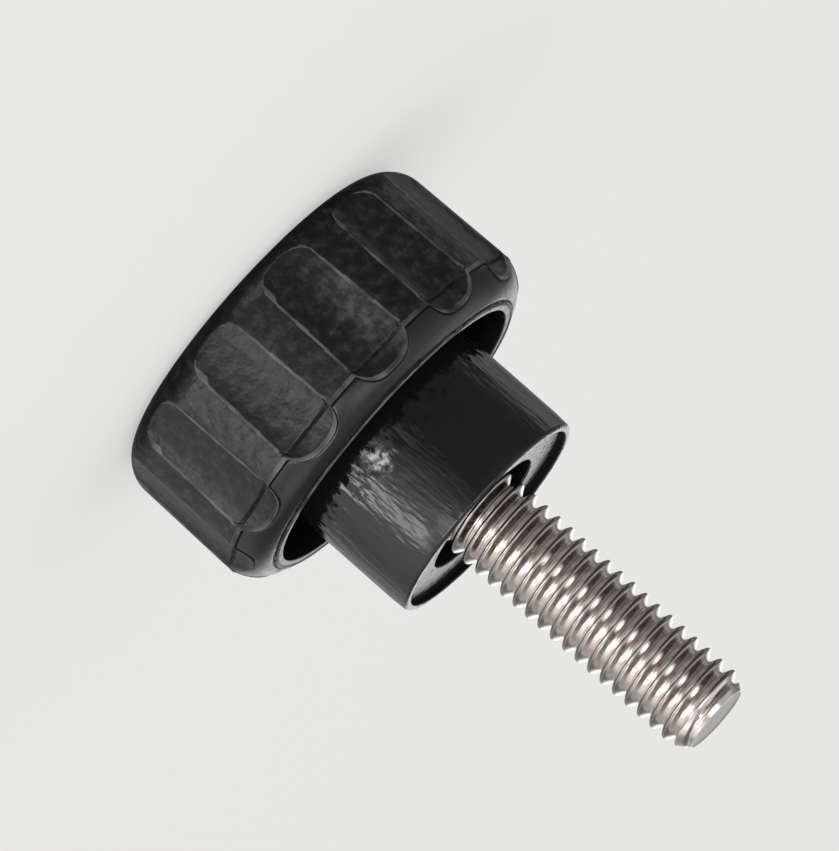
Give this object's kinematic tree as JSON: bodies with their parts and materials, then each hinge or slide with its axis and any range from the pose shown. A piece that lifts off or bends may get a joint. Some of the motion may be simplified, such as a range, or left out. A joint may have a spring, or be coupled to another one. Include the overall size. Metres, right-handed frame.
{
  "type": "thumb screw",
  "caption": "Thumb screw with a fluted moulded plastic head, a long round collar and a coarse threaded steel stud.",
  "frame": {"origin": "centre of the head's flat top face, which the part stands on", "axes": "+Z along the stud, from the head's flat top to the stud's free end; a land of the grip lies on +X and one on +Y"},
  "size_m": [0.025, 0.025, 0.0372],
  "materials": {
    "knob_plastic": "black moulded plastic, fine texture on the grip, satin on the rim and collar",
    "stud_steel": "plain stainless steel, rolled thread"
  },
  "bodies": {
    "root": {"grip_knob": "knob_plastic", "threaded_stud": "stud_steel"}
  },
  "joints": []
}
